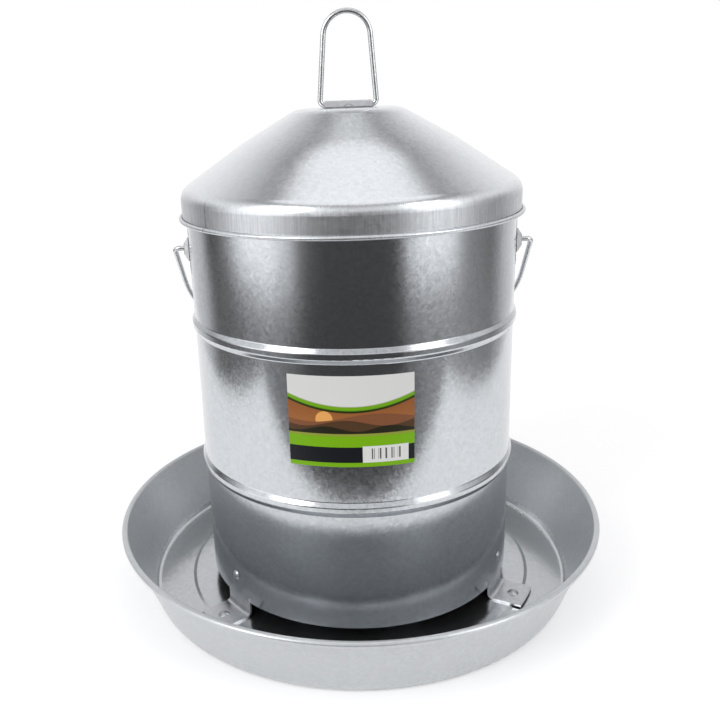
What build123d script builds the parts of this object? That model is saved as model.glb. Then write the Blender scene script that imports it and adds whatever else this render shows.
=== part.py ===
from build123d import *

import os
from math import asin, cos, degrees, radians, sin, sqrt, tan

# Galvanised poultry feeder: a pan, a barrel on three legs, a cone lid and a carrying bail.
# Driving dimensions, in millimetres and degrees.

BARREL_R = 126.0  # outside of the middle section
UPPER_STEP = 0.2  # the section above the upper bead is this much wider
LOWER_STEP = 0.6  # the section below the lower bead is this much narrower
BARREL_SHEET = 0.6
WINDOW_TOP = 15.5  # bottom edge of the barrel, the top of the feed windows
LOWER_SECTION = 97.5  # from the bottom edge to the lower bead
MIDDLE_SECTION = 113.7  # between the beads
UPPER_SECTION = 99.0  # from the upper bead to the top edge
BEAD_HEIGHT = 11.0
BEAD_CREST = 4.0
BEAD_DEPTH = 2.0
BEAD_BEND = 1.8
RIM_CURL = 1.3  # outside radius of the barrel's rolled top edge
CURL_SWEEP = 285.0
WIRE_GAP = 0.1  # between a rolled edge and the wire in it

SEAM_ANGLE = 155.0  # lock seam at the back, from the front towards the right
SEAM_WIDTH = 7.9
SEAM_HEIGHT = 0.9
SEAM_END = 1.0  # the seam stops this far from a bead's middle
SEAM_STOP = 11.0  # and this far below the lid's hem

PAN_R = 199.8  # outside of the rolled rim
PAN_HEIGHT = 57.0
PAN_BASE_R = 175.0
PAN_SHEET = 0.8
PAN_CURL = 2.5  # outside radius of the rolled rim
PAN_BEND = 4.0
PANEL_MARGIN = 3.2  # the middle of the floor is pressed up to just past the foot rivets
PANEL_RISE = 1.2
PANEL_RAMP = 2.5
PANEL_BEND = 1.2

LEG_ANGLES = (-50.5, 63.0, 186.3)  # from the front, towards the right
LEG_WIDTH = 30.0
LEG_SHEET = 1.5
LEG_LAP = 28.5  # how far a leg reaches up inside the barrel
LEG_BEND = 4.0
LEG_RIVET_RISE = 18.0  # above the barrel's bottom edge
FOOT_LENGTH = 25.1  # out from the barrel wall
FOOT_RIVET_OUT = 13.6

LID_CLEAR = 0.8  # between the barrel's rolled edge and the lid's skirt
LID_SHEET = 0.6
LID_SLOPE = 33.8  # of the outer part of the cone
LID_INNER_SLOPE = 29.5
LID_CROWN_R = 82.0  # the two slopes blend into each other here
LID_CROWN_BEND = 300.0
LID_SHOULDER = 11.5
LID_SKIRT = 13.9  # from the shoulder to the middle of the rolled hem
LID_FLAT_R = 39.0
LID_FLAT_BEND = 22.0
HEM_CURL = 1.6  # outside radius of the rolled hem

EAR_SHEET = 1.2
EAR_WIDTH = 18.0
EAR_DROP = 26.7  # from the lid's hem to the bail's pivot
EAR_BOSS = 6.0  # how far the boss stands off the barrel wall
EAR_BOSS_TOP = 8.0  # side of the boss's flat outer end
EAR_BOSS_HEIGHT = 25.0
EAR_BOSS_WIDTH = 15.0
EAR_BOSS_BEND = 1.5
EAR_TAB = 7.5  # flat end above and below the boss
EAR_TAB_CORNER = 5.0
EAR_RIVET_EDGE = 3.6  # from the end of the tab

BAIL_WIRE = 4.0
BAIL_CLEAR = 6.0  # between the lid's hem and the arms
BAIL_OVER = 11.5  # between the lid's loop and the bail as it passes over
BAIL_BEND = 4.0
BAIL_REST_GAP = 0.6
BAIL_END_GAP = 2.2  # from the barrel wall to the middle of the upset end
UPSET_R = 3.1
UPSET_THICK = 1.5

LOOP_WIRE = 4.0
LOOP_BASE = 42.5  # between the centres of the wire at the bottom
LOOP_LEAN = 4.6  # how far each side leans inwards
LOOP_HEIGHT = 65.6
LOOP_BEND = 3.6
STRAP_SHEET = 1.0
STRAP_DEPTH = 30.0
STRAP_END_GAP = 1.75  # from the ends of the strap to the sides of the loop
STRAP_EDGE = 4.8  # from a rivet to the edge of its flange
STRAP_FLARE = 0.9
STRAP_BEND = 1.2

LABEL_WIDTH = 88.4
LABEL_HEIGHT = 66.6
LABEL_RISE = 10.0  # above the middle of the section between the beads
LABEL_SHIFT = -3.1  # towards the left
LABEL_THICK = 0.12
LABEL_GAP = 0.05  # under the sticker

SHANK_R = 2.0
TAIL_R = 2.8
TAIL_HEIGHT = 1.0
LEG_HEAD_R = 3.9
LEG_HEAD_HEIGHT = 2.0
FOOT_HEAD_R = 4.4
FOOT_HEAD_HEIGHT = 2.0
EAR_HEAD_R = 3.2
EAR_HEAD_HEIGHT = 1.2
STRAP_HEAD_R = 4.4
STRAP_HEAD_HEIGHT = 2.2
DRILL = 40.0  # length of the tool that cuts a rivet hole

RIVET_CLEAR = 0.05
RUNNING_CLEAR = 0.08
TOUCH = 0.02  # gap left between faces that lie on each other
CURVE_CLEAR = 0.1  # extra grip of a flat rivet on a round wall

# Sizes that follow from those above.

UPPER_R = BARREL_R + UPPER_STEP
LOWER_R = BARREL_R - LOWER_STEP
LOWER_BEAD_Z = WINDOW_TOP + LOWER_SECTION
UPPER_BEAD_Z = LOWER_BEAD_Z + MIDDLE_SECTION
BARREL_TOP = UPPER_BEAD_Z + UPPER_SECTION
BARREL_TOP_WALL = UPPER_R - BARREL_SHEET / 2
BARREL_CURL = RIM_CURL - BARREL_SHEET / 2
BARREL_CURL_R = BARREL_TOP_WALL + BARREL_CURL
BARREL_CURL_Z = BARREL_TOP - RIM_CURL

FOOT_RIVET_R = LOWER_R + FOOT_RIVET_OUT
PANEL_R = FOOT_RIVET_R + PANEL_MARGIN
PANEL_TOP = PAN_SHEET + PANEL_RISE
LEG_TOP = WINDOW_TOP + LEG_LAP
LEG_RIVET_Z = WINDOW_TOP + LEG_RIVET_RISE

# The barrel's rolled edge carries the shoulder of the lid.
LID_R = BARREL_CURL_R + RIM_CURL + LID_CLEAR + LID_SHEET
LID_WALL = LID_R - LID_SHEET / 2
SHOULDER_R = LID_R - LID_SHOULDER
SEAT_REACH = LID_SHOULDER - LID_SHEET - RIM_CURL - TOUCH
SHOULDER_Z = BARREL_CURL_Z - sqrt(SEAT_REACH**2 - (BARREL_CURL_R - SHOULDER_R) ** 2)
SHOULDER_BEND = LID_SHOULDER - LID_SHEET / 2
LID_CONE_Z = SHOULDER_Z + SHOULDER_BEND * tan(radians(45) - radians(LID_SLOPE) / 2)
LID_CROWN_Z = LID_CONE_Z + (LID_WALL - LID_CROWN_R) * tan(radians(LID_SLOPE))
LID_FLAT_Z = LID_CROWN_Z + (LID_CROWN_R - LID_FLAT_R) * tan(radians(LID_INNER_SLOPE))
LID_TOP = LID_FLAT_Z + LID_SHEET / 2
LID_HEM_Z = SHOULDER_Z - LID_SKIRT
HEM_LINE = HEM_CURL - LID_SHEET / 2
HEM_R = LID_WALL + HEM_LINE

LOOP_AXIS_Z = LID_TOP + LOOP_WIRE / 2 + 2 * TOUCH
STRAP_LENGTH = LOOP_BASE - LOOP_WIRE - 2 * STRAP_END_GAP
STRAP_RIVET_Y = STRAP_DEPTH / 2 - STRAP_EDGE

PIVOT_Z = LID_HEM_Z - EAR_DROP
EAR_HEIGHT = EAR_BOSS_HEIGHT + 2 * EAR_TAB
EAR_RIVET_OFFSET = EAR_HEIGHT / 2 - EAR_RIVET_EDGE
BAIL_R = HEM_R + HEM_CURL + BAIL_CLEAR + BAIL_WIRE / 2
LOOP_TOP_Z = LOOP_AXIS_Z + LOOP_HEIGHT + LOOP_WIRE / 2
BAIL_REACH = LOOP_TOP_Z + BAIL_OVER + BAIL_WIRE / 2 - PIVOT_Z


def at_angle(shape, angle):
    """Turn a shape from the right-hand side (+X) to an angle from the front."""
    return Rot(0, 0, angle - 90) * shape


def midpoint(start, end):
    return ((start[0] + end[0]) / 2, (start[1] + end[1]) / 2)


def ring(line, sheet):
    """A round sheet-metal piece from the centre line of its wall."""
    return revolve(Plane.XZ * trace(line, sheet), Axis.Z, 360)


def sector(line, sheet, arc):
    """A strip bent round the axis, centred on +X."""
    strip = revolve(Plane.XZ * trace(line, sheet), Axis.Z, arc)
    return Rot(0, 0, -arc / 2) * strip


def rim_wire(radius, height, wire_r):
    """The wire inside a rolled edge."""
    return Pos(0, 0, height) * Torus(radius, wire_r)


def rivet(head_r, head_h, grip):
    """A round-head rivet along Z: head above z = 0, shank and tail below."""
    dome_r = (head_r**2 + head_h**2) / (2 * head_h)
    head = Pos(0, 0, head_h - dome_r) * Sphere(dome_r)
    head &= Cylinder(head_r, head_h, align=(Align.CENTER, Align.CENTER, Align.MIN))
    shank = Cylinder(SHANK_R, grip, align=(Align.CENTER, Align.CENTER, Align.MAX))
    tail = Cylinder(TAIL_R, TAIL_HEIGHT, align=(Align.CENTER, Align.CENTER, Align.MAX))
    return head + shank + Pos(0, 0, -grip) * tail


def rivet_hole():
    """The tool that cuts a rivet's hole, along Z."""
    return Cylinder(SHANK_R + RIVET_CLEAR, DRILL)


def radial(shape, radius, height):
    """Lay a piece that was made along Z on the +X side, its head outwards."""
    return Pos(radius, 0, height) * Rot(0, 90, 0) * shape


def beaded(low_r, high_r, z):
    """Corner points of a bead between two wall radii, from below."""
    crest_r = max(low_r, high_r) + BEAD_DEPTH
    return [
        (low_r, z - BEAD_HEIGHT / 2),
        (crest_r, z - BEAD_CREST / 2),
        (crest_r, z + BEAD_CREST / 2),
        (high_r, z + BEAD_HEIGHT / 2),
    ]


def make_pan():
    """The pan, its wall tangent to the rim that is rolled over a wire."""
    wall = PAN_SHEET / 2
    curl_line = PAN_CURL - wall
    curl_at = (PAN_R - PAN_CURL, PAN_HEIGHT - PAN_CURL)
    rise = curl_at[1] - wall
    slant = sqrt((curl_at[0] - PAN_BASE_R) ** 2 + rise**2)
    start = degrees(asin(curl_line / slant)) + degrees(asin(rise / slant)) + 90
    touch_at = (
        curl_at[0] + curl_line * cos(radians(start)),
        curl_at[1] + curl_line * sin(radians(start)),
    )
    floor_z = PANEL_TOP - wall
    middle = ((PAN_BASE_R + PANEL_R) / 2, wall)
    ramp = (PANEL_R + PANEL_RAMP, wall)
    inner = FilletPolyline((0, floor_z), (PANEL_R, floor_z), ramp, middle, radius=PANEL_BEND)
    outer = FilletPolyline(middle, (PAN_BASE_R, wall), touch_at, radius=PAN_BEND)
    rim = CenterArc(curl_at, curl_line, start, -CURL_SWEEP)
    pan = ring(inner + outer + rim, PAN_SHEET)
    for angle in LEG_ANGLES:
        pan -= at_angle(Pos(FOOT_RIVET_R, 0, 0) * rivet_hole(), angle)
    wire = rim_wire(*curl_at, PAN_CURL - PAN_SHEET - WIRE_GAP)
    return pan, wire


def make_barrel():
    """One sheet with two swaged beads, a rolled top edge and a lock seam at the back."""
    half = BARREL_SHEET / 2
    corners = [(LOWER_R - half, WINDOW_TOP)]
    corners += beaded(LOWER_R - half, BARREL_R - half, LOWER_BEAD_Z)
    corners += beaded(BARREL_R - half, UPPER_R - half, UPPER_BEAD_Z)
    corners += [(BARREL_TOP_WALL, BARREL_CURL_Z)]
    wall = FilletPolyline(*corners, radius=BEAD_BEND)
    edge = CenterArc((BARREL_CURL_R, BARREL_CURL_Z), BARREL_CURL, 180, -CURL_SWEEP)
    barrel = ring(wall + edge, BARREL_SHEET)
    for low, high, radius in (
        (WINDOW_TOP, LOWER_BEAD_Z, LOWER_R),
        (LOWER_BEAD_Z, UPPER_BEAD_Z, BARREL_R),
        (UPPER_BEAD_Z, LID_HEM_Z - SEAM_STOP, UPPER_R),
    ):
        barrel += at_angle(make_seam(low, high, radius, radius - half), SEAM_ANGLE)
    for angle in LEG_ANGLES:
        barrel -= at_angle(radial(rivet_hole(), BARREL_R, LEG_RIVET_Z), angle)
    for side in (-90, 90):
        for z in ear_rivet_heights():
            barrel -= at_angle(radial(rivet_hole(), BARREL_R, z), side)
    wire = rim_wire(BARREL_CURL_R, BARREL_CURL_Z, RIM_CURL - BARREL_SHEET - WIRE_GAP)
    return barrel, wire


def make_seam(low, high, radius, root):
    """One length of the fold that closes the barrel, on the outside of the wall."""
    line = Polyline((radius, low + SEAM_END), (radius, high - SEAM_END))
    seam = sector(line, 2 * SEAM_HEIGHT, degrees(SEAM_WIDTH / BARREL_R))
    return seam - Cylinder(root, 2 * high)


def ear_rivet_heights():
    return (PIVOT_Z - EAR_RIVET_OFFSET, PIVOT_Z + EAR_RIVET_OFFSET)


def make_leg():
    """An angle bracket inside the barrel wall, its foot turned out on the floor of the pan."""
    half = LEG_SHEET / 2
    back = LOWER_R - BARREL_SHEET - TOUCH - half
    sole = PANEL_TOP + TOUCH + half
    toe = LOWER_R + FOOT_LENGTH
    line = FilletPolyline((back, LEG_TOP), (back, sole), (toe, sole), radius=LEG_BEND)
    leg = sector(line, LEG_SHEET, 2 * degrees(LEG_WIDTH / LOWER_R))
    leg &= Pos(LOWER_R, 0, LEG_TOP / 2) * Box(4 * FOOT_LENGTH, LEG_WIDTH, 2 * LEG_TOP)
    leg -= radial(rivet_hole(), LOWER_R, LEG_RIVET_Z)
    leg -= Pos(FOOT_RIVET_R, 0, 0) * rivet_hole()
    return leg


def make_leg_rivet():
    grip = BARREL_SHEET + LEG_SHEET + 3 * TOUCH + CURVE_CLEAR
    return radial(rivet(LEG_HEAD_R, LEG_HEAD_HEIGHT, grip), LOWER_R + TOUCH, LEG_RIVET_Z)


def make_foot_rivet():
    grip = PAN_SHEET + LEG_SHEET + 3 * TOUCH
    head_z = PANEL_TOP + LEG_SHEET + 2 * TOUCH
    return Pos(FOOT_RIVET_R, 0, head_z) * rivet(FOOT_HEAD_R, FOOT_HEAD_HEIGHT, grip)


def make_boss(inset):
    """A blunt pyramid along +X; a larger inset gives its hollow."""
    base = Pos(UPPER_R, 0, PIVOT_Z) * Rot(0, 90, 0)
    end = Pos(UPPER_R + EAR_BOSS - inset, 0, PIVOT_Z) * Rot(0, 90, 0)
    wide = Rectangle(EAR_BOSS_HEIGHT - 2 * inset, EAR_BOSS_WIDTH - 2 * inset)
    narrow = Rectangle(EAR_BOSS_TOP - 2 * inset, EAR_BOSS_TOP - 2 * inset)
    boss = loft([base * wide, end * narrow])
    return fillet(boss.edges().filter_by(Axis.Y) + boss.edges().filter_by(Axis.Z), inset or EAR_BOSS_BEND)


def make_ear():
    """A plate riveted to the wall above and below, with a pressed boss for the end of the bail."""
    half = EAR_SHEET / 2
    middle = UPPER_R + TOUCH + half
    line = Polyline((middle, PIVOT_Z - EAR_HEIGHT / 2), (middle, PIVOT_Z + EAR_HEIGHT / 2))
    plate = sector(line, EAR_SHEET, 2 * degrees(EAR_WIDTH / UPPER_R))
    outline = fillet(Rectangle(EAR_WIDTH, EAR_HEIGHT).vertices(), EAR_TAB_CORNER)
    plate &= Pos(UPPER_R, 0, PIVOT_Z) * extrude(Plane.YZ * outline, EAR_BOSS, both=True)
    ear = plate + make_boss(0) - make_boss(EAR_SHEET)
    ear -= Cylinder(UPPER_R + TOUCH, 2 * BARREL_TOP)
    ear -= radial(Cylinder(BAIL_WIRE / 2 + RUNNING_CLEAR, DRILL), UPPER_R, PIVOT_Z)
    for z in ear_rivet_heights():
        ear -= radial(rivet_hole(), UPPER_R, z)
    return ear


def make_ear_rivet(z):
    grip = BARREL_SHEET + EAR_SHEET + 3 * TOUCH + CURVE_CLEAR
    return radial(rivet(EAR_HEAD_R, EAR_HEAD_HEIGHT, grip), UPPER_R + EAR_SHEET + 2 * TOUCH, z)


def bail_rest_angle():
    """How far the hanging bail stands off the vertical when it leans on the barrel."""
    return degrees(asin((BARREL_R + BAIL_WIRE / 2 + BAIL_REST_GAP) / BAIL_REACH))


def make_bail():
    """A wire bow with its ends turned in through the ears and upset inside them."""
    inner = UPPER_R + BAIL_END_GAP
    straight = BAIL_REACH - BAIL_R
    right = FilletPolyline((inner, 0), (BAIL_R, 0), (BAIL_R, straight), radius=BAIL_BEND)
    top = CenterArc((0, straight), BAIL_R, 0, 180)
    left = FilletPolyline((-BAIL_R, straight), (-BAIL_R, 0), (-inner, 0), radius=BAIL_BEND)
    path = Plane.XZ * Wire(right.edges() + top.edges() + left.edges())
    section = Plane(origin=path @ 0, z_dir=path % 0) * Circle(BAIL_WIRE / 2)
    bail = sweep(section, path)
    for side in (-1, 1):
        bail += Pos(side * inner, 0, 0) * Rot(0, 90, 0) * Cylinder(UPSET_R, UPSET_THICK)
    return Pos(0, 0, PIVOT_Z) * Rot(180 + bail_rest_angle(), 0, 0) * bail


def make_lid():
    """A crowned cone with a small flat top and a round shoulder, its hem rolled outwards."""
    flat = (LID_FLAT_R, LID_FLAT_Z)
    crown = (LID_CROWN_R, LID_CROWN_Z)
    cone = (LID_WALL, LID_CONE_Z)
    hem = (LID_WALL, LID_HEM_Z)
    upper = midpoint(flat, crown)
    lower = midpoint(crown, cone)
    line = FilletPolyline((0, LID_FLAT_Z), flat, upper, radius=LID_FLAT_BEND)
    line += FilletPolyline(upper, crown, lower, radius=LID_CROWN_BEND)
    line += FilletPolyline(lower, cone, hem, radius=SHOULDER_BEND)
    line += CenterArc((HEM_R, LID_HEM_Z), HEM_LINE, 180, CURL_SWEEP)
    lid = ring(line, LID_SHEET)
    for side_y in (-1, 1):
        lid -= Pos(0, side_y * STRAP_RIVET_Y, LID_TOP) * rivet_hole()
    wire = rim_wire(HEM_R, LID_HEM_Z, HEM_CURL - LID_SHEET - WIRE_GAP)
    return lid, wire


def make_loop():
    """A closed loop of wire with its lower rod in the strap."""
    lean = radians(LOOP_LEAN)
    base = LOOP_BASE / 2
    # The round top is tangent to both sides.
    round_z = (LOOP_HEIGHT - base * cos(lean)) / (1 - sin(lean))
    round_r = LOOP_HEIGHT - round_z
    neck = (round_r * cos(lean), round_z + round_r * sin(lean))
    other = (-neck[0], neck[1])
    lower = FilletPolyline(other, (-base, 0), (base, 0), neck, radius=LOOP_BEND)
    over = ThreePointArc(neck, (0, LOOP_HEIGHT), other)
    loop = Part()
    for line in (lower, over):
        path = Plane.XZ * Wire(line.edges())
        section = Plane(origin=path @ 0, z_dir=path % 0) * Circle(LOOP_WIRE / 2)
        loop += sweep(section, path)
    return Pos(0, 0, LOOP_AXIS_Z) * loop


def make_strap():
    """A saddle over the rod of the loop, with a flange in front and one behind."""
    half = STRAP_SHEET / 2
    flange = LID_TOP + TOUCH + half
    bow = LOOP_WIRE / 2 + RUNNING_CLEAR + half
    top = LOOP_AXIS_Z + bow
    line = FilletPolyline(
        (-STRAP_DEPTH / 2, flange),
        (-bow - STRAP_FLARE, flange),
        (-bow, top),
        (bow, top),
        (bow + STRAP_FLARE, flange),
        (STRAP_DEPTH / 2, flange),
        radius=STRAP_BEND,
    )
    strap = extrude(Plane.YZ * trace(line, STRAP_SHEET), STRAP_LENGTH / 2, both=True)
    for side_y in (-1, 1):
        strap -= Pos(0, side_y * STRAP_RIVET_Y, LID_TOP) * rivet_hole()
    return strap


def make_strap_rivets():
    grip = STRAP_SHEET + LID_SHEET + 3 * TOUCH
    head = rivet(STRAP_HEAD_R, STRAP_HEAD_HEIGHT, grip)
    z = LID_TOP + STRAP_SHEET + 2 * TOUCH
    return [Pos(0, side * STRAP_RIVET_Y, z) * head for side in (-1, 1)]


def make_label():
    """A thin printed sticker on the front of the middle section."""
    radius = BARREL_R + LABEL_GAP + LABEL_THICK / 2
    centre_z = (LOWER_BEAD_Z + UPPER_BEAD_Z) / 2 + LABEL_RISE
    line = Polyline((radius, centre_z - LABEL_HEIGHT / 2), (radius, centre_z + LABEL_HEIGHT / 2))
    label = sector(line, LABEL_THICK, degrees(LABEL_WIDTH / BARREL_R))
    return at_angle(label, degrees(LABEL_SHIFT / BARREL_R))


def build():
    pan, pan_wire = make_pan()
    barrel, barrel_wire = make_barrel()
    lid, lid_wire = make_lid()
    leg = make_leg()
    ear = make_ear()
    nodes = {
        "feed_pan": pan,
        "pan_rim_wire": pan_wire,
        "barrel": barrel,
        "barrel_rim_wire": barrel_wire,
        "lid": lid,
        "lid_hem_wire": lid_wire,
        "ear_left": at_angle(ear, -90),
        "ear_right": at_angle(ear, 90),
        "bail_handle": make_bail(),
        "lid_loop": make_loop(),
        "loop_strap": make_strap(),
        "label": make_label(),
    }
    for name, angle in zip(("leg_left", "leg_right", "leg_rear"), LEG_ANGLES):
        nodes[name] = at_angle(leg, angle)
    nodes["leg_rivets"] = Compound([at_angle(make_leg_rivet(), a) for a in LEG_ANGLES])
    nodes["foot_rivets"] = Compound([at_angle(make_foot_rivet(), a) for a in LEG_ANGLES])
    nodes["ear_rivets"] = Compound(
        [at_angle(make_ear_rivet(z), side) for side in (-90, 90) for z in ear_rivet_heights()]
    )
    nodes["strap_rivets"] = Compound(make_strap_rivets())
    return nodes


os.makedirs("parts", exist_ok=True)
for name, shape in build().items():
    export_step(shape, f"parts/{name}.step")
    box = shape.bounding_box()
    print(name, "solids", len(shape.solids()), "volume", round(shape.volume, 1))
    print("  z", round(box.min.Z, 2), round(box.max.Z, 2))
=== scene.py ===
from math import pi, radians

import bpy
from mathutils import Matrix, Vector

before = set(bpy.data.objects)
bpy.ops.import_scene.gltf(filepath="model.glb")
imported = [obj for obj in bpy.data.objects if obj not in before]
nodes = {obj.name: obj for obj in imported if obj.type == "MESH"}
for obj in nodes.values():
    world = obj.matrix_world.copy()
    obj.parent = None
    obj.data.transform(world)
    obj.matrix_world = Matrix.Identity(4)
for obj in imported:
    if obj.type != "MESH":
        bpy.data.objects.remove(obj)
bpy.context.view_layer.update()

# Camera, fitted to the circles of the pan, the barrel and the lid.
EYE = (0.0, -0.6611, 0.3993)
FOCAL_PX = 846.2
PITCH_DOWN = 17.50
YAW = -2.447
ROLL = -2.063
CENTRE_PX = (319.5, 352.4)
PHOTO = (720, 710)
SENSOR_WIDTH = 36.0

# Places on the object, in metres and radians, for patterns that follow its shape.
LABEL_LOW = 0.14655
LABEL_HIGH = 0.21315
LABEL_CENTRE = radians(-1.41)
LABEL_HALF = radians(20.1)
LABEL_SHAPE = 0.664  # half its width over its height
SKIRT_TOP = 0.3255
SKIRT_LAP = radians(-50.5)
LAP_HALF = 0.006
PAN_FLOOR_TOP = 0.006


# Small helpers for building materials out of nodes.

class Board:
    """Adds and links nodes in a tree by short calls."""

    def __init__(self, tree):
        self.tree = tree

    def add(self, kind, **settings):
        node = self.tree.nodes.new(kind)
        for name, value in settings.items():
            setattr(node, name, value)
        return node

    def link(self, source, target):
        self.tree.links.new(source, target)

    def feed(self, value, target):
        """Link a socket, or set a plain value."""
        if isinstance(value, bpy.types.NodeSocket):
            self.tree.links.new(value, target)
        else:
            target.default_value = value

    def math(self, operation, a, b=None, clamp=False):
        node = self.add("ShaderNodeMath", operation=operation, use_clamp=clamp)
        self.feed(a, node.inputs[0])
        if b is not None:
            self.feed(b, node.inputs[1])
        return node.outputs[0]

    def vector(self, operation, a, b=None):
        node = self.add("ShaderNodeVectorMath", operation=operation)
        self.feed(a, node.inputs[0])
        if b is not None:
            self.feed(b, node.inputs[1])
        return node.outputs["Vector"]

    def scale(self, vector, factor):
        node = self.add("ShaderNodeVectorMath", operation="SCALE")
        self.link(vector, node.inputs[0])
        self.feed(factor, node.inputs["Scale"])
        return node.outputs["Vector"]

    def mix(self, factor, a, b, blend="MIX"):
        node = self.add("ShaderNodeMix", data_type="RGBA", blend_type=blend)
        self.feed(factor, node.inputs[0])
        self.feed(a, node.inputs[6])
        self.feed(b, node.inputs[7])
        return node.outputs[2]

    def between(self, value, low, high, soft=0.0):
        """1 inside a band of a value, 0 outside it."""
        edge = max(soft, 1e-5)
        up = self.ramp(value, low - edge / 2, low + edge / 2)
        down = self.ramp(value, high - edge / 2, high + edge / 2)
        return self.math("SUBTRACT", up, down, clamp=True)

    def ramp(self, value, low, high, start=0.0, end=1.0):
        """A straight rise from start to end while a value goes from low to high."""
        node = self.add("ShaderNodeMapRange", clamp=True)
        self.feed(value, node.inputs["Value"])
        for name, number in (("From Min", low), ("From Max", high), ("To Min", start), ("To Max", end)):
            self.feed(number, node.inputs[name])
        return node.outputs["Result"]

    def noise(self, vector, scale, detail):
        """A noise texture, with a value and a colour of its own."""
        node = self.add("ShaderNodeTexNoise")
        self.link(vector, node.inputs["Vector"])
        self.feed(scale, node.inputs["Scale"])
        self.feed(detail, node.inputs["Detail"])
        return node.outputs

    def cells(self, vector, scale):
        """One random colour for each cell, and that colour's three parts."""
        node = self.add("ShaderNodeTexVoronoi", feature="F1")
        self.link(vector, node.inputs["Vector"])
        self.feed(scale, node.inputs["Scale"])
        parts = self.add("ShaderNodeSeparateColor")
        self.link(node.outputs["Color"], parts.inputs[0])
        return node.outputs["Color"], parts.outputs

    def place(self):
        """The place on the object, as a vector and as x, y and z."""
        vector = self.add("ShaderNodeTexCoord").outputs["Object"]
        return vector, self.axes(vector)

    def axes(self, vector):
        node = self.add("ShaderNodeSeparateXYZ")
        self.link(vector, node.inputs[0])
        return node.outputs

    def front_angle(self, x, y):
        """Angle about the upright axis in radians, 0 at the front and positive to the right."""
        return self.math("ARCTAN2", x, self.math("MULTIPLY", y, -1.0))


def group(name, inputs, outputs):
    """An empty shader node group with its sockets, its board, and its two ends."""
    tree = bpy.data.node_groups.new(name, "ShaderNodeTree")
    for label, kind, default in inputs:
        socket = tree.interface.new_socket(label, in_out="INPUT", socket_type=kind)
        socket.default_value = default
    for label, kind in outputs:
        tree.interface.new_socket(label, in_out="OUTPUT", socket_type=kind)
    board = Board(tree)
    start = board.add("NodeGroupInput")
    end = board.add("NodeGroupOutput")
    return tree, board, start.outputs, end.inputs


def new_material(name):
    material = bpy.data.materials.new(name)
    material.use_nodes = True
    b = Board(material.node_tree)
    shader = material.node_tree.nodes["Principled BSDF"]
    return material, b, shader


# Zinc.

FLOAT = "NodeSocketFloat"
COLOUR = "NodeSocketColor"
VECTOR = "NodeSocketVector"

EDGE_NOISE = 420.0  # shakes the crystals' edges, per metre
EDGE_SHIFT = 0.004
SMALL_CRYSTALS = 2.7  # how much finer the small crystals are than the large ones
LARGE_SHARE = 0.65  # of the greys, and the small crystals give the rest
PATCH_NOISE = 14.0  # slow change over a sheet, per metre
PATCH_RANGE = (0.55, 1.25)


def make_spangle():
    """Zinc crystals: patches that differ a little in grey, in gloss and in the way they face."""
    tree, b, given, put = group(
        "zinc_spangle",
        [
            ("Flakes per metre", FLOAT, 260.0),
            ("Grey spread", FLOAT, 0.12),
            ("Tilt", FLOAT, 0.05),
            ("Gloss spread", FLOAT, 0.1),
            ("Base", COLOUR, (0.6, 0.62, 0.64, 1)),
            ("Roughness", FLOAT, 0.3),
        ],
        [("Colour", COLOUR), ("Roughness", FLOAT), ("Normal", VECTOR)],
    )
    half = (0.5, 0.5, 0.5)
    place, _ = b.place()
    # Crystals have ragged edges, so the place is shaken before the cells are cut.
    shake = b.noise(place, EDGE_NOISE, 2.0)["Color"]
    ragged = b.vector("ADD", place, b.scale(b.vector("SUBTRACT", shake, half), EDGE_SHIFT))
    large, large_parts = b.cells(ragged, given["Flakes per metre"])
    small, small_parts = b.cells(ragged, b.math("MULTIPLY", given["Flakes per metre"], SMALL_CRYSTALS))
    grey = b.math(
        "ADD",
        b.math("MULTIPLY", large_parts[0], LARGE_SHARE),
        b.math("MULTIPLY", small_parts[0], 1.0 - LARGE_SHARE),
    )
    patchy = b.ramp(b.noise(place, PATCH_NOISE, 3.0)[0], 0.3, 0.7, *PATCH_RANGE)
    spread = b.math("MULTIPLY", b.math("SUBTRACT", grey, 0.5), given["Grey spread"])
    factor = b.math("ADD", 1.0, b.math("MULTIPLY", b.math("MULTIPLY", spread, patchy), 2.0))
    b.link(b.scale(given["Base"], factor), put["Colour"])
    wobble = b.math("MULTIPLY", b.math("SUBTRACT", large_parts[1], 0.5), given["Gloss spread"])
    b.link(b.math("ADD", given["Roughness"], wobble, clamp=True), put["Roughness"])
    turn = b.vector("ADD", b.vector("SUBTRACT", large, half), b.vector("SUBTRACT", small, half))
    lean = b.scale(turn, b.math("MULTIPLY", given["Tilt"], patchy))
    facing = b.add("ShaderNodeNewGeometry").outputs["Normal"]
    b.link(b.vector("NORMALIZE", b.vector("ADD", facing, lean)), put["Normal"])
    return tree


def lay_zinc(b, shader, base, rough, flakes, grey, tilt, gloss):
    """The crystals on a metal shader; base and rough are sockets or plain values."""
    node = b.add("ShaderNodeGroup", node_tree=SPANGLE)
    for name, value in (
        ("Flakes per metre", flakes), ("Grey spread", grey), ("Tilt", tilt), ("Gloss spread", gloss),
        ("Base", base), ("Roughness", rough),
    ):
        b.feed(value, node.inputs[name])
    b.link(node.outputs["Colour"], shader.inputs["Base Color"])
    b.link(node.outputs["Roughness"], shader.inputs["Roughness"])
    b.link(node.outputs["Normal"], shader.inputs["Normal"])
    shader.inputs["Metallic"].default_value = 1.0


def zinc(name, base, rough, **crystals):
    material, b, shader = new_material(name)
    lay_zinc(b, shader, (*base, 1), rough, **crystals)
    return material


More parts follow.
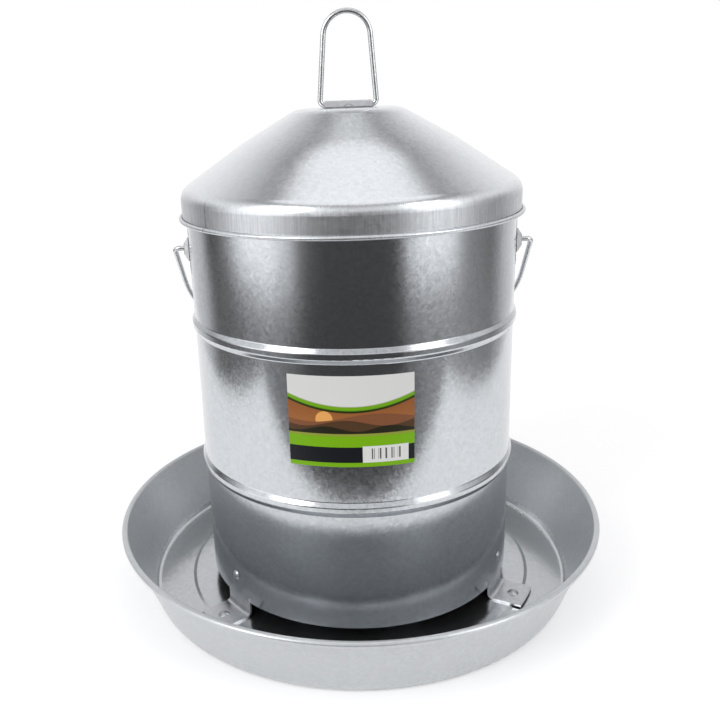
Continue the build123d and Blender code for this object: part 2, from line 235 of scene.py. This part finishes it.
def lid_finish(name, base, rough, skirt_rough, **crystals):
    """Zinc on a cone, and duller on the rolled skirt, which the rollers have rubbed in fine upright lines."""
    material, b, shader = new_material(name)
    place, (x, y, z) = b.place()
    plain = (1, 1, 1, 1)
    skirt = b.ramp(z, SKIRT_TOP - 0.004, SKIRT_TOP + 0.004, 1.0, 0.0)
    lines = b.noise(b.vector("MULTIPLY", place, (1.0, 1.0, 0.05)), 900.0, 2.0)[0]
    shade = b.mix(b.ramp(lines, 0.35, 0.65), (0.84, 0.84, 0.84, 1), plain)
    # The strip of the skirt ends in a lap. The shade on the lap's step is painted into the colour as one
    # darker upright line.
    painted_lap_shade = b.between(b.front_angle(x, y), SKIRT_LAP - LAP_HALF, SKIRT_LAP + LAP_HALF, 0.004)
    shade = b.mix(skirt, plain, b.mix(painted_lap_shade, shade, (0.62, 0.62, 0.62, 1)))
    lay_zinc(
        b, shader,
        base=b.mix(1.0, shade, (*base, 1), "MULTIPLY"),
        rough=b.math("ADD", rough, b.math("MULTIPLY", skirt, skirt_rough - rough)),
        **crystals,
    )
    return material


def pan_finish(name, base, floor_rough, wall_rough, wall_metal, **crystals):
    """Zinc that is smooth and bright on the pressed floor, and dull on the drawn wall."""
    material, b, shader = new_material(name)
    _, (x, y, z) = b.place()
    wall = b.ramp(z, PAN_FLOOR_TOP - 0.003, PAN_FLOOR_TOP + 0.003)
    rough = b.math("ADD", floor_rough, b.math("MULTIPLY", wall, wall_rough - floor_rough))
    lay_zinc(b, shader, (*base, 1), rough, **crystals)
    b.link(b.ramp(wall, 0.0, 1.0, 0.97, wall_metal), shader.inputs["Metallic"])
    return material


# The label's fields. Heights are shares of the label's height from its foot, and widths go from -1 on the
# left to 1 on the right.

FOOT_TOP = 0.048
DARK_TOP = 0.222
STRIPE_TOP = 0.345
STRIPE_RIM_TOP = 0.372
PANEL_SIDES = (0.17, 0.90)
PANEL_TOP = 0.232
BARS_SIDES = (0.30, 0.83)
BARS_HEIGHTS = (0.085, 0.205)
BOW_MIDDLE = 0.655
BOW_RISE = 0.13
SUN_PLACE = (-0.42, 0.53)
SUN_SIZE = 0.008  # the square of its radius
HILLS = (  # height, swing, waves and phase of each crest, and its colour
    (0.545, 0.045, 3.1, 0.4, (0.24, 0.09, 0.04, 1)),
    (0.485, 0.035, 4.7, 2.0, (0.09, 0.045, 0.02, 1)),
    (0.425, 0.028, 6.3, 4.1, (0.02, 0.018, 0.008, 1)),
)
SKY_LOW = (0.42, 0.17, 0.05, 1)
SKY_HIGH = (0.30, 0.10, 0.03, 1)
SUN = (0.85, 0.42, 0.12, 1)
STRIPE_RIM = (0.30, 0.34, 0.05, 1)
LEAF_GREEN = (0.20, 0.46, 0.006, 1)
BOW_GREEN = (0.17, 0.42, 0.01, 1)
BOW_SHADE = (0.012, 0.03, 0.004, 1)
NEAR_BLACK = (0.006, 0.007, 0.010, 1)
BAR_GREY = (0.10, 0.10, 0.10, 1)
PANEL_WHITE = (0.78, 0.78, 0.76, 1)
TOP_WHITE = (0.76, 0.76, 0.74, 1)


def label_print():
    """Plain fields of colour: a pale top with a bowed edge, hills at dusk, a green stripe, a dark foot."""
    material, b, shader = new_material("label_print")
    _, (x, y, z) = b.place()
    u = b.math("DIVIDE", b.math("SUBTRACT", b.front_angle(x, y), LABEL_CENTRE), LABEL_HALF)
    v = b.math("DIVIDE", b.math("SUBTRACT", z, LABEL_LOW), LABEL_HIGH - LABEL_LOW)
    colour = b.mix(b.ramp(v, 0.35, 0.72), SKY_LOW, SKY_HIGH)
    # A low sun and three ranges of hills.
    across = b.math("MULTIPLY", b.math("SUBTRACT", u, SUN_PLACE[0]), LABEL_SHAPE)
    up = b.math("SUBTRACT", v, SUN_PLACE[1])
    reach = b.math("ADD", b.math("MULTIPLY", across, across), b.math("MULTIPLY", up, up))
    colour = b.mix(b.math("LESS_THAN", reach, SUN_SIZE), colour, SUN)
    for height, swing, waves, phase, shade in HILLS:
        wave = b.math("SINE", b.math("ADD", b.math("MULTIPLY", u, waves), phase))
        crest = b.math("ADD", height, b.math("MULTIPLY", wave, swing))
        colour = b.mix(b.math("LESS_THAN", v, crest), colour, shade)
    colour = b.mix(b.between(v, STRIPE_TOP, STRIPE_RIM_TOP, 0.004), colour, STRIPE_RIM)
    colour = b.mix(b.math("LESS_THAN", v, STRIPE_TOP), colour, LEAF_GREEN)
    colour = b.mix(b.math("LESS_THAN", v, DARK_TOP), colour, NEAR_BLACK)
    white_panel = b.math("MULTIPLY", b.between(u, *PANEL_SIDES), b.math("LESS_THAN", v, PANEL_TOP))
    colour = b.mix(white_panel, colour, PANEL_WHITE)
    # Upright bars of several widths on the white panel, where two waves of unlike length agree.
    wide = b.math("GREATER_THAN", b.math("SINE", b.math("MULTIPLY", u, 61.0)), 0.15)
    narrow = b.math("GREATER_THAN", b.math("SINE", b.math("MULTIPLY", u, 143.0)), -0.35)
    window = b.math("MULTIPLY", b.between(u, *BARS_SIDES), b.between(v, *BARS_HEIGHTS))
    bars = b.math("MULTIPLY", b.math("MULTIPLY", wide, narrow), window)
    colour = b.mix(bars, colour, BAR_GREY)
    colour = b.mix(b.math("LESS_THAN", v, FOOT_TOP), colour, LEAF_GREEN)
    # The pale top, with a green line along its bowed edge.
    bow = b.math("ADD", BOW_MIDDLE, b.math("MULTIPLY", b.math("MULTIPLY", u, u), BOW_RISE))
    edge = b.math("SUBTRACT", v, bow)
    colour = b.mix(b.between(edge, -0.055, -0.02, 0.01), colour, BOW_SHADE)
    colour = b.mix(b.between(edge, -0.03, 0.012, 0.016), colour, BOW_GREEN)
    colour = b.mix(b.ramp(edge, 0.006, 0.02), colour, TOP_WHITE)
    b.link(colour, shader.inputs["Base Color"])
    shader.inputs["Roughness"].default_value = 0.32
    shader.inputs["Specular IOR Level"].default_value = 0.35
    return material


# The studio.

FLOOR_Z = -0.0006
FLOOR_SIDE = 0.63
FLOOR_FRONT = -0.35
FLOOR_BACK = 1.3
FLOOR_GREY = 0.80
FLOOR_LIFT = 0.30


def make_floor():
    """Pale paper under the object; it ends in front, out of the camera's sight."""
    mesh = bpy.data.meshes.new("floor")
    corners = [
        (-FLOOR_SIDE, FLOOR_FRONT, FLOOR_Z), (FLOOR_SIDE, FLOOR_FRONT, FLOOR_Z),
        (FLOOR_SIDE, FLOOR_BACK, FLOOR_Z), (-FLOOR_SIDE, FLOOR_BACK, FLOOR_Z),
    ]
    mesh.from_pydata(corners, [], [(0, 1, 2, 3)])
    floor = bpy.data.objects.new("floor", mesh)
    bpy.context.collection.objects.link(floor)
    material, b, shader = new_material("floor_paper")
    shader.inputs["Base Color"].default_value = (FLOOR_GREY, FLOOR_GREY, FLOOR_GREY, 1)
    shader.inputs["Roughness"].default_value = 0.9
    shader.inputs["Specular IOR Level"].default_value = 0.0
    # The camera, metal and glass see the open paper as white, and the shadow on it stays.
    rays = b.add("ShaderNodeLightPath").outputs
    seen = b.math("MAXIMUM", rays["Is Camera Ray"], rays["Is Glossy Ray"])
    seen = b.math("MAXIMUM", seen, rays["Is Transmission Ray"])
    shader.inputs["Emission Color"].default_value = (1, 1, 1, 1)
    b.link(b.math("MULTIPLY", seen, FLOOR_LIFT), shader.inputs["Emission Strength"])
    mesh.materials.append(material)


# Brightness round the studio, by angle from the camera's side in degrees, negative to the left: the walls
# with their two bright boxes, and below them the ground beyond the paper.
WALL_STOPS = [
    (-180, 1.0), (-158, 1.0), (-147, 0.80), (-127, 0.68), (-122, 0.48), (-117, 0.20), (-112, 0.10),
    (-106, 0.12), (-98, 0.27), (-91, 0.52), (-86, 0.95), (-79, 1.42), (-70, 1.56), (-56, 1.48),
    (-41, 0.82), (-35, 0.28), (-28, 0.13), (-18, 0.08), (28, 0.08), (33, 0.28), (39, 1.02), (46, 1.44),
    (56, 1.52), (66, 1.40), (73, 1.10), (79, 0.54), (86, 0.34), (108, 0.20), (118, 0.40), (126, 0.68),
    (158, 1.0), (180, 1.0),
]
GROUND_STOPS = [
    (-180, 1.0), (-155, 0.92), (-139, 0.76), (-126, 0.66), (-119, 0.46), (-113, 0.24), (-107, 0.15),
    (-84, 0.16), (-66, 0.20), (-50, 0.20), (-40, 0.13), (-30, 0.07), (32, 0.07), (38, 0.16), (50, 0.26),
    (73, 0.34), (87, 0.32), (109, 0.26), (118, 0.42), (129, 0.66), (153, 0.90), (180, 1.0),
]
# Brightness of the ceiling. Heights here and below are sines of the angle above level.
CEILING_STOPS = [
    (0.0, 1.0), (0.35, 1.0), (0.57, 0.85), (0.74, 0.58), (0.845, 0.27), (0.868, 0.36), (0.895, 1.12),
    (1.0, 1.12),
]
PATCH_SHIFT = 0.07  # the bright patch overhead reaches further to the right
# The boxes end below at a height that falls with the angle on the left, and is a little more on the right.
BOX_FOOT_LEFT = (-95.0, -60.0, -0.190, -0.226)
BOX_FOOT_RIGHT = (0.0, 80.0, 0.0, 0.020)
BOX_FOOT_BLUR = (-0.022, 0.014)
CEILING_BLUR = (0.10, 0.40)
BEHIND_ANGLES = (150.0, 158.0)
COOL = 1.015  # blue over red and green


def fill_ramp(b, value, stops, low, high):
    """A ramp of greys over a value, from a list of places and levels."""
    node = b.add("ShaderNodeValToRGB")
    b.link(b.ramp(value, low, high), node.inputs[0])
    ramp = node.color_ramp
    ramp.interpolation = "LINEAR"
    while len(ramp.elements) > 1:
        ramp.elements.remove(ramp.elements[-1])
    for i, (place, level) in enumerate(stops):
        spot = (place - low) / (high - low)
        element = ramp.elements[0] if i == 0 else ramp.elements.new(spot)
        element.position = spot
        element.color = (level, level, level * COOL, 1)
    return node.outputs[0]


def make_world():
    """A studio: white behind the object, dark round the camera, soft bright boxes at its sides and above."""
    world = bpy.data.worlds.new("studio")
    bpy.context.scene.world = world
    world.use_nodes = True
    b = Board(world.node_tree)
    back = world.node_tree.nodes["Background"]
    out = world.node_tree.nodes["World Output"]
    x, y, z = b.axes(b.add("ShaderNodeTexCoord").outputs["Generated"])
    angle = b.math("MULTIPLY", b.front_angle(x, y), 180 / pi)
    wall = fill_ramp(b, angle, WALL_STOPS, -180.0, 180.0)
    ground = fill_ramp(b, angle, GROUND_STOPS, -180.0, 180.0)
    height = b.math("ADD", z, b.math("MULTIPLY", b.math("MAXIMUM", x, 0.0), PATCH_SHIFT))
    ceiling = fill_ramp(b, height, CEILING_STOPS, 0.0, 1.0)
    foot = b.math("ADD", b.ramp(angle, *BOX_FOOT_LEFT), b.ramp(angle, *BOX_FOOT_RIGHT))
    colour = b.mix(b.ramp(b.math("SUBTRACT", z, foot), *BOX_FOOT_BLUR), ground, wall)
    colour = b.mix(b.ramp(z, *CEILING_BLUR), colour, ceiling)
    b.link(colour, back.inputs["Color"])
    plain = b.add("ShaderNodeBackground")
    plain.inputs["Color"].default_value = (1, 1, 1, 1)
    # White for the camera, and for metal and glass in the directions that the camera sees.
    behind = b.ramp(b.math("ABSOLUTE", angle), *BEHIND_ANGLES)
    behind = b.math("MULTIPLY", behind, b.ramp(z, *CEILING_BLUR, 1.0, 0.0))
    rays = b.add("ShaderNodeLightPath").outputs
    bounced = b.math("MAXIMUM", rays["Is Glossy Ray"], rays["Is Transmission Ray"])
    mix = b.add("ShaderNodeMixShader")
    b.link(b.math("MAXIMUM", rays["Is Camera Ray"], b.math("MULTIPLY", bounced, behind)), mix.inputs[0])
    b.link(back.outputs[0], mix.inputs[1])
    b.link(plain.outputs[0], mix.inputs[2])
    b.link(mix.outputs[0], out.inputs["Surface"])


LAMP_AIM = (0, 0, 0.2)
LAMPS = (  # name, place, width, height and watts
    ("key_left", (-1.3, -1.2, 1.3), 0.9, 1.2, 14),
    ("key_right", (1.4, -1.0, 1.2), 0.6, 1.2, 8),
)


def soft_lamp(name, place, width, height, power):
    data = bpy.data.lights.new(name, "AREA")
    data.shape = "RECTANGLE"
    data.size = width
    data.size_y = height
    data.energy = power
    lamp = bpy.data.objects.new(name, data)
    bpy.context.collection.objects.link(lamp)
    lamp.location = place
    lamp.rotation_euler = (Vector(LAMP_AIM) - Vector(place)).to_track_quat("-Z", "Y").to_euler()


def make_camera():
    data = bpy.data.cameras.new("camera")
    camera = bpy.data.objects.new("camera", data)
    bpy.context.collection.objects.link(camera)
    data.sensor_fit = "HORIZONTAL"
    data.sensor_width = SENSOR_WIDTH
    data.lens = FOCAL_PX / PHOTO[0] * SENSOR_WIDTH
    data.shift_x = (PHOTO[0] / 2 - CENTRE_PX[0]) / PHOTO[0]
    data.shift_y = (CENTRE_PX[1] - PHOTO[1] / 2) / PHOTO[0]
    data.clip_start = 0.01
    turn = (
        Matrix.Rotation(radians(-YAW), 4, "Z")
        @ Matrix.Rotation(radians(90 - PITCH_DOWN), 4, "X")
        @ Matrix.Rotation(radians(ROLL), 4, "Z")
    )
    camera.matrix_world = Matrix.Translation(EYE) @ turn
    bpy.context.scene.camera = camera


def dress(names, material):
    """Give a material to nodes of the frame."""
    for name in names:
        slots = nodes[name].data.materials
        if len(slots) == 0:
            slots.append(material)
        for i in range(len(slots)):
            slots[i] = material


SPANGLE = make_spangle()
barrel_zinc = zinc("barrel_zinc", (0.57, 0.59, 0.61), 0.165, flakes=430.0, grey=0.09, tilt=0.011, gloss=0.04)
lid_zinc = lid_finish(
    "lid_zinc", (0.74, 0.76, 0.78), 0.20, skirt_rough=0.38, flakes=430.0, grey=0.06, tilt=0.013, gloss=0.05,
)
pan_zinc = pan_finish(
    "pan_zinc", (0.57, 0.585, 0.60), floor_rough=0.19, wall_rough=0.34, wall_metal=0.64,
    flakes=380.0, grey=0.06, tilt=0.02, gloss=0.05,
)
bracket_zinc = zinc("bracket_zinc", (0.60, 0.61, 0.63), 0.32, flakes=320.0, grey=0.10, tilt=0.04, gloss=0.08)
wire_zinc = zinc("wire_zinc", (0.66, 0.67, 0.68), 0.30, flakes=500.0, grey=0.10, tilt=0.03, gloss=0.10)
rivet_zinc = zinc("rivet_zinc", (0.48, 0.50, 0.51), 0.32, flakes=600.0, grey=0.08, tilt=0.02, gloss=0.05)

dress(("barrel", "barrel_rim_wire"), barrel_zinc)
dress(("lid", "lid_hem_wire"), lid_zinc)
dress(("feed_pan", "pan_rim_wire"), pan_zinc)
dress(("leg_left", "leg_right", "leg_rear", "ear_left", "ear_right", "loop_strap"), bracket_zinc)
dress(("bail_handle", "lid_loop"), wire_zinc)
dress(("leg_rivets", "foot_rivets", "ear_rivets", "strap_rivets"), rivet_zinc)
dress(("label",), label_print())

make_camera()
make_floor()
make_world()
for name, place, width, height, power in LAMPS:
    soft_lamp(name, place, width, height, power)

bpy.context.scene.view_settings.view_transform = "Standard"
